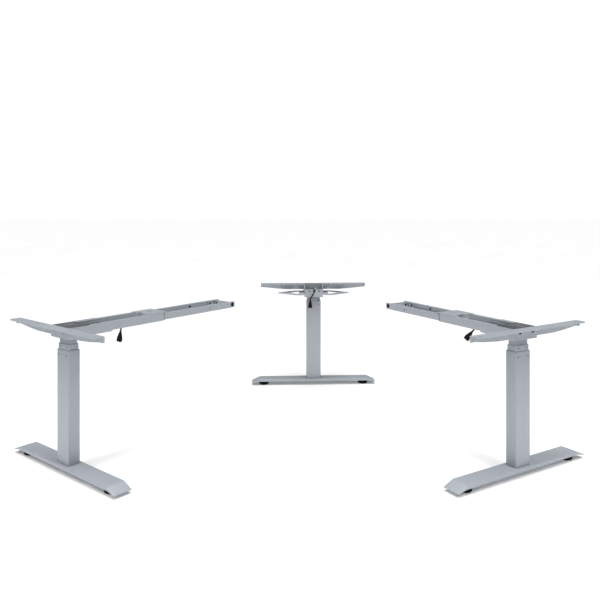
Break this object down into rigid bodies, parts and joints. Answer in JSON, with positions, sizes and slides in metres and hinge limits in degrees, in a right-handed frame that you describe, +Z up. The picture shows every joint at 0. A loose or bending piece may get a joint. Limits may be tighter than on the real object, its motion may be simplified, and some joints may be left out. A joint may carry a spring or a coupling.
{
  "type": "height adjustable desk frame",
  "caption": "Electric corner desk frame as three separate stands: telescopic columns on long feet, arms for an L-shaped top, and sliding beams on the side stands.",
  "frame": {"origin": "on the floor, in the middle of the footprint of all three stands without their leads", "axes": "+X from the left stand to the right one, +Y from the two side stands towards the corner stand, +Z up"},
  "size_m": [2.3522, 1.6304, 0.5675],
  "materials": {
    "powder_coat": "fine satin silver-grey powder coat",
    "black_plastic": "moulded, matt",
    "grey_plastic": "moulded, low sheen",
    "cable_jacket": "soft matt jacket",
    "screw_steel": "oiled, turned",
    "motor_housing": "dark satin"
  },
  "bodies": {
    "corner_stand": {"corner_foot": "powder_coat", "corner_outer_tube": "powder_coat", "corner_lower_bushing": "grey_plastic"},
    "corner_middle_stage": {"corner_middle_tube": "powder_coat", "corner_upper_bushing": "grey_plastic", "corner_hollow_screw": "screw_steel"},
    "corner_head_stage": {"corner_inner_tube": "powder_coat", "corner_gear_motor": "motor_housing", "corner_head": "powder_coat", "corner_lead": "cable_jacket", "corner_plug": "black_plastic", "corner_arm_a": "powder_coat", "corner_arm_b": "powder_coat", "corner_wing_plate_a": "powder_coat", "corner_wing_plate_b": "powder_coat"},
    "corner_drive": {"corner_drive_tube": "screw_steel"},
    "corner_glide_a_body": {"corner_glide_a": "black_plastic"},
    "corner_glide_b_body": {"corner_glide_b": "black_plastic"},
    "left_stand": {"left_foot": "powder_coat", "left_outer_tube": "powder_coat", "left_lower_bushing": "grey_plastic"},
    "left_middle_stage": {"left_middle_tube": "powder_coat", "left_upper_bushing": "grey_plastic", "left_hollow_screw": "screw_steel"},
    "left_head_stage": {"left_inner_tube": "powder_coat", "left_gear_motor": "motor_housing", "left_head": "powder_coat", "left_lead": "cable_jacket", "left_plug": "black_plastic", "left_arm": "powder_coat", "left_outer_rail_a": "powder_coat", "left_outer_rail_b": "powder_coat", "left_bridge_plate": "powder_coat"},
    "left_drive": {"left_drive_tube": "screw_steel"},
    "left_glide_a_body": {"left_glide_a": "black_plastic"},
    "left_glide_b_body": {"left_glide_b": "black_plastic"},
    "left_beam_slide": {"left_inner_rail_a": "powder_coat", "left_inner_rail_b": "powder_coat", "left_end_bracket": "powder_coat"},
    "right_stand": {"right_foot": "powder_coat", "right_outer_tube": "powder_coat", "right_lower_bushing": "grey_plastic"},
    "right_middle_stage": {"right_middle_tube": "powder_coat", "right_upper_bushing": "grey_plastic", "right_hollow_screw": "screw_steel"},
    "right_head_stage": {"right_inner_tube": "powder_coat", "right_gear_motor": "motor_housing", "right_head": "powder_coat", "right_lead": "cable_jacket", "right_plug": "black_plastic", "right_arm": "powder_coat", "right_outer_rail_a": "powder_coat", "right_outer_rail_b": "powder_coat", "right_bridge_plate": "powder_coat"},
    "right_drive": {"right_drive_tube": "screw_steel"},
    "right_glide_a_body": {"right_glide_a": "black_plastic"},
    "right_glide_b_body": {"right_glide_b": "black_plastic"},
    "right_beam_slide": {"right_inner_rail_a": "powder_coat", "right_inner_rail_b": "powder_coat", "right_end_bracket": "powder_coat"}
  },
  "joints": [
    {"name": "corner_lower_lift", "type": "slide", "parent": "corner_stand", "child": "corner_middle_stage", "axis": [0, 0, 1], "range_m": [0, 0.325]},
    {"name": "corner_upper_lift", "type": "slide", "parent": "corner_middle_stage", "child": "corner_head_stage", "axis": [0, 0, 1], "range_m": [0, 0.325]},
    {"name": "corner_drive_turn", "type": "hinge", "parent": "corner_head_stage", "child": "corner_drive", "pos_m": [0.08582, 0.65689, 0.3], "axis": [0, 0, 1], "range_deg": [0, 11701]},
    {"name": "corner_glide_a_screw", "type": "slide", "parent": "corner_stand", "child": "corner_glide_a_body", "axis": [0, 0, -1], "range_m": [0, 0.01]},
    {"name": "corner_glide_b_screw", "type": "slide", "parent": "corner_stand", "child": "corner_glide_b_body", "axis": [0, 0, -1], "range_m": [0, 0.01]},
    {"name": "left_lower_lift", "type": "slide", "parent": "left_stand", "child": "left_middle_stage", "axis": [0, 0, 1], "range_m": [0, 0.325]},
    {"name": "left_upper_lift", "type": "slide", "parent": "left_middle_stage", "child": "left_head_stage", "axis": [0, 0, 1], "range_m": [0, 0.325]},
    {"name": "left_drive_turn", "type": "hinge", "parent": "left_head_stage", "child": "left_drive", "pos_m": [-0.88018, -0.56511, 0.3], "axis": [0, 0, 1], "range_deg": [0, 11701]},
    {"name": "left_glide_a_screw", "type": "slide", "parent": "left_stand", "child": "left_glide_a_body", "axis": [0, 0, -1], "range_m": [0, 0.01]},
    {"name": "left_glide_b_screw", "type": "slide", "parent": "left_stand", "child": "left_glide_b_body", "axis": [0, 0, -1], "range_m": [0, 0.01]},
    {"name": "right_lower_lift", "type": "slide", "parent": "right_stand", "child": "right_middle_stage", "axis": [0, 0, 1], "range_m": [0, 0.325]},
    {"name": "right_upper_lift", "type": "slide", "parent": "right_middle_stage", "child": "right_head_stage", "axis": [0, 0, 1], "range_m": [0, 0.325]},
    {"name": "right_drive_turn", "type": "hinge", "parent": "right_head_stage", "child": "right_drive", "pos_m": [0.85782, -0.58511, 0.3], "axis": [0, 0, 1], "range_deg": [0, 11701]},
    {"name": "right_glide_a_screw", "type": "slide", "parent": "right_stand", "child": "right_glide_a_body", "axis": [0, 0, -1], "range_m": [0, 0.01]},
    {"name": "right_glide_b_screw", "type": "slide", "parent": "right_stand", "child": "right_glide_b_body", "axis": [0, 0, -1], "range_m": [0, 0.01]},
    {"name": "left_beam_reach", "type": "slide", "parent": "left_head_stage", "child": "left_beam_slide", "axis": [0.6293, 0.7771, 0], "range_m": [-0.235, 0]},
    {"name": "left_stand_approach", "type": "slide", "parent": "corner_stand", "child": "left_stand", "axis": [0.4812, 0.8766, 0], "range_m": [0, 0.582]},
    {"name": "right_beam_reach", "type": "slide", "parent": "right_head_stage", "child": "right_beam_slide", "axis": [-0.5225, 0.8526, 0], "range_m": [-0.125, 0.11]},
    {"name": "right_stand_approach", "type": "slide", "parent": "corner_stand", "child": "right_stand", "axis": [-0.3184, 0.9479, 0], "range_m": [0, 0.517]}
  ],
  "couplings": [
    {"joint": "corner_upper_lift", "follows": "corner_lower_lift", "ratio": 1},
    {"joint": "corner_drive_turn", "follows": "corner_lower_lift", "rad_per_m": 628.32},
    {"joint": "left_lower_lift", "follows": "corner_lower_lift", "ratio": 1},
    {"joint": "left_upper_lift", "follows": "corner_lower_lift", "ratio": 1},
    {"joint": "left_drive_turn", "follows": "corner_lower_lift", "rad_per_m": 628.32},
    {"joint": "right_lower_lift", "follows": "corner_lower_lift", "ratio": 1},
    {"joint": "right_upper_lift", "follows": "corner_lower_lift", "ratio": 1},
    {"joint": "right_drive_turn", "follows": "corner_lower_lift", "rad_per_m": 628.32}
  ]
}
